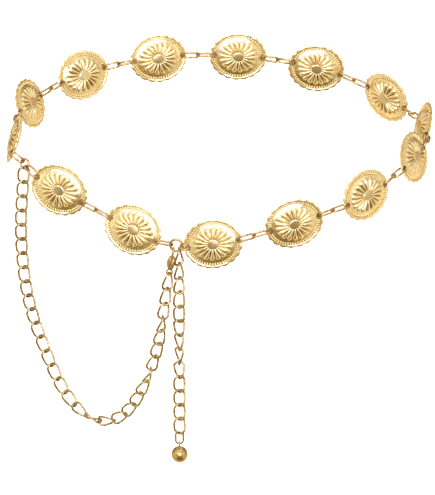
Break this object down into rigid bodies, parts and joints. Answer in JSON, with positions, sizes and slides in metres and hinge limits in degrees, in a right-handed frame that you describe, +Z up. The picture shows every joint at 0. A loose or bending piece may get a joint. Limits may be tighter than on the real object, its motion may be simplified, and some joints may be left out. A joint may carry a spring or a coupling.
{
  "type": "layered chain belt",
  "caption": "Gold-tone chain belt of stamped oval discs joined by round-wire links, with a draped curb chain, a hanging tail chain and a ball end.",
  "frame": {"origin": "the middle of the waist ring, at the mean height of its discs, where the wearer's waist holds it", "axes": "+Z up along the wearer's body, -Y to the front where the belt fastens, +X to the right in the front view, along the ring's longest reach"},
  "size_m": [0.2582, 0.1768, 0.2158],
  "materials": {
    "concho_gold": "stamped brass with a polished pale gold plating, darker in the hollows",
    "link_gold": "polished gold-plated round wire",
    "chain_gold": "polished gold-plated twisted curb chain",
    "clasp_gold": "polished gold-plated cast brass",
    "ball_gold": "mirror-polished gold-plated ball"
  },
  "bodies": {
    "belt": {"concho_01": "concho_gold", "concho_02": "concho_gold", "concho_03": "concho_gold", "concho_04": "concho_gold", "concho_05": "concho_gold", "concho_06": "concho_gold", "concho_07": "concho_gold", "concho_08": "concho_gold", "concho_09": "concho_gold", "concho_10": "concho_gold", "concho_11": "concho_gold", "concho_12": "concho_gold", "concho_13": "concho_gold", "concho_14": "concho_gold", "link_01_a": "link_gold", "link_01_b": "link_gold", "link_02_a": "link_gold", "link_02_b": "link_gold", "link_03_a": "link_gold", "link_03_b": "link_gold", "link_04_a": "link_gold", "link_04_b": "link_gold", "link_05_a": "link_gold", "link_05_b": "link_gold", "link_06_a": "link_gold", "link_06_b": "link_gold", "link_07_a": "link_gold", "link_07_b": "link_gold", "link_08_a": "link_gold", "link_08_b": "link_gold", "link_09_a": "link_gold", "link_09_b": "link_gold", "link_10_a": "link_gold", "link_10_b": "link_gold", "link_11_a": "link_gold", "link_11_b": "link_gold", "link_12_a": "link_gold", "link_12_b": "link_gold", "link_13_a": "link_gold", "link_13_b": "link_gold", "front_link": "link_gold", "end_ring": "link_gold", "swag_ring": "link_gold", "swag_01": "chain_gold", "swag_02": "chain_gold", "swag_03": "chain_gold", "swag_04": "chain_gold", "swag_05": "chain_gold", "swag_06": "chain_gold", "swag_07": "chain_gold", "tail_01": "chain_gold", "tail_02": "chain_gold", "tail_03": "chain_gold", "tail_end_link": "chain_gold", "clasp_ring": "clasp_gold", "lobster_clasp": "clasp_gold"},
    "ball": {"end_ball": "ball_gold"}
  },
  "joints": [
    {"name": "ball_swing", "type": "hinge", "parent": "belt", "child": "ball", "pos_m": [-0.02789, -0.08351, -0.16595], "axis": [1, 0, 0], "range_deg": [-75, 75]}
  ]
}
